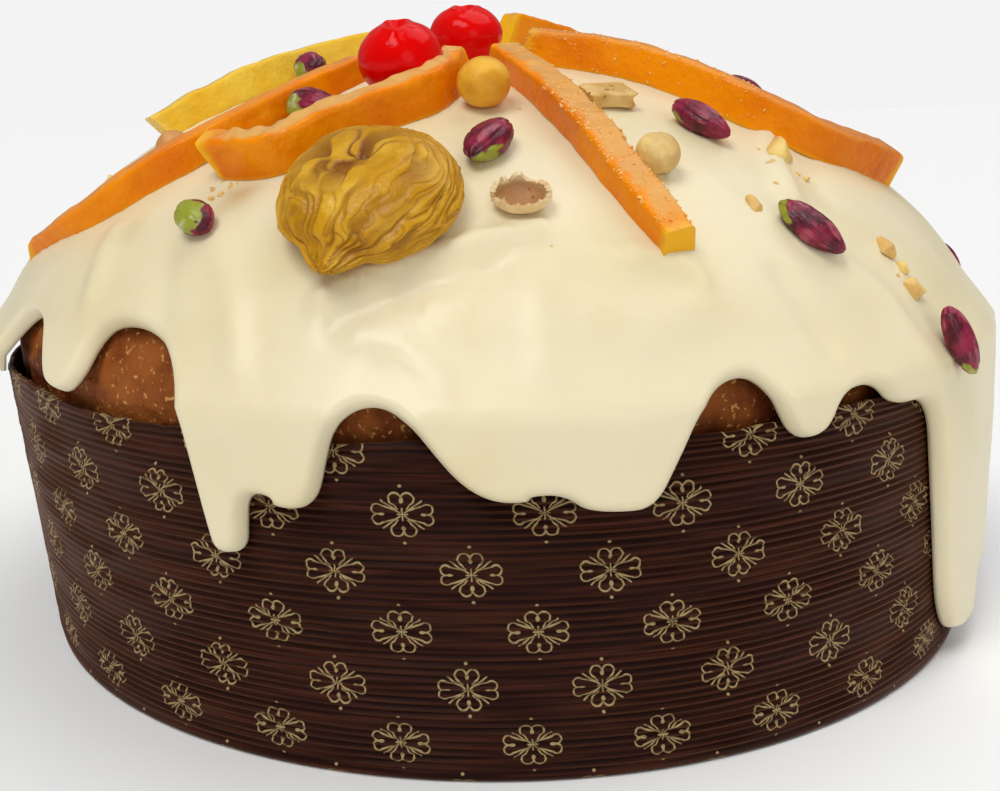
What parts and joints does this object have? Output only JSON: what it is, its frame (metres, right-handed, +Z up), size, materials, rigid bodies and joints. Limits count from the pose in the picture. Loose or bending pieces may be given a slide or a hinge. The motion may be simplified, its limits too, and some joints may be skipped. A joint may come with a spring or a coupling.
{
  "type": "panettone",
  "caption": "Low iced panettone in a corrugated brown paper case, topped with candied peel strips, cherries, dried figs, pistachios and hazelnuts.",
  "frame": {"origin": "middle of the paper case's underside, where it rests", "axes": "+Z up; -Y towards the side shown in the picture, +X to its right"},
  "size_m": [0.2255, 0.223, 0.1298],
  "materials": {
    "paper": "ribbed dark brown baking paper with a small gold ornament",
    "crust": "matte browned crust with fine specks",
    "icing": "satin ivory white chocolate icing",
    "orange_peel": "translucent sugared orange peel",
    "lemon_peel": "translucent sugared lemon peel",
    "cherry": "wet glossy candied cherry",
    "fig": "wrinkled tan dried fig with a waxy sheen",
    "pistachio": "purple-red skin over a green kernel",
    "hazelnut": "pale roasted nut, satin"
  },
  "bodies": {
    "root": {"cherry_back": "cherry", "cherry_left": "cherry", "cherry_top": "cherry", "dough": "crust", "fig_back": "fig", "fig_front": "fig", "hazelnut_1": "hazelnut", "hazelnut_2": "hazelnut", "hazelnut_3": "hazelnut", "hazelnut_4": "hazelnut", "hazelnut_5": "hazelnut", "hazelnut_flat_piece": "hazelnut", "hazelnut_shell_half": "hazelnut", "icing": "icing", "paper_case": "paper", "peel_orange_back_right": "orange_peel", "peel_orange_front_left": "orange_peel", "peel_orange_front_right": "orange_peel", "peel_orange_left": "orange_peel", "peel_orange_right": "orange_peel", "peel_yellow_back_left": "lemon_peel", "peel_yellow_left": "lemon_peel", "pistachio_01": "pistachio", "pistachio_02": "pistachio", "pistachio_03": "pistachio", "pistachio_04": "pistachio", "pistachio_05": "pistachio", "pistachio_06": "pistachio", "pistachio_07": "pistachio", "pistachio_08": "pistachio", "pistachio_09": "pistachio", "pistachio_10": "pistachio", "pistachio_11": "pistachio", "pistachio_12": "pistachio", "pistachio_13": "pistachio"}
  },
  "joints": []
}
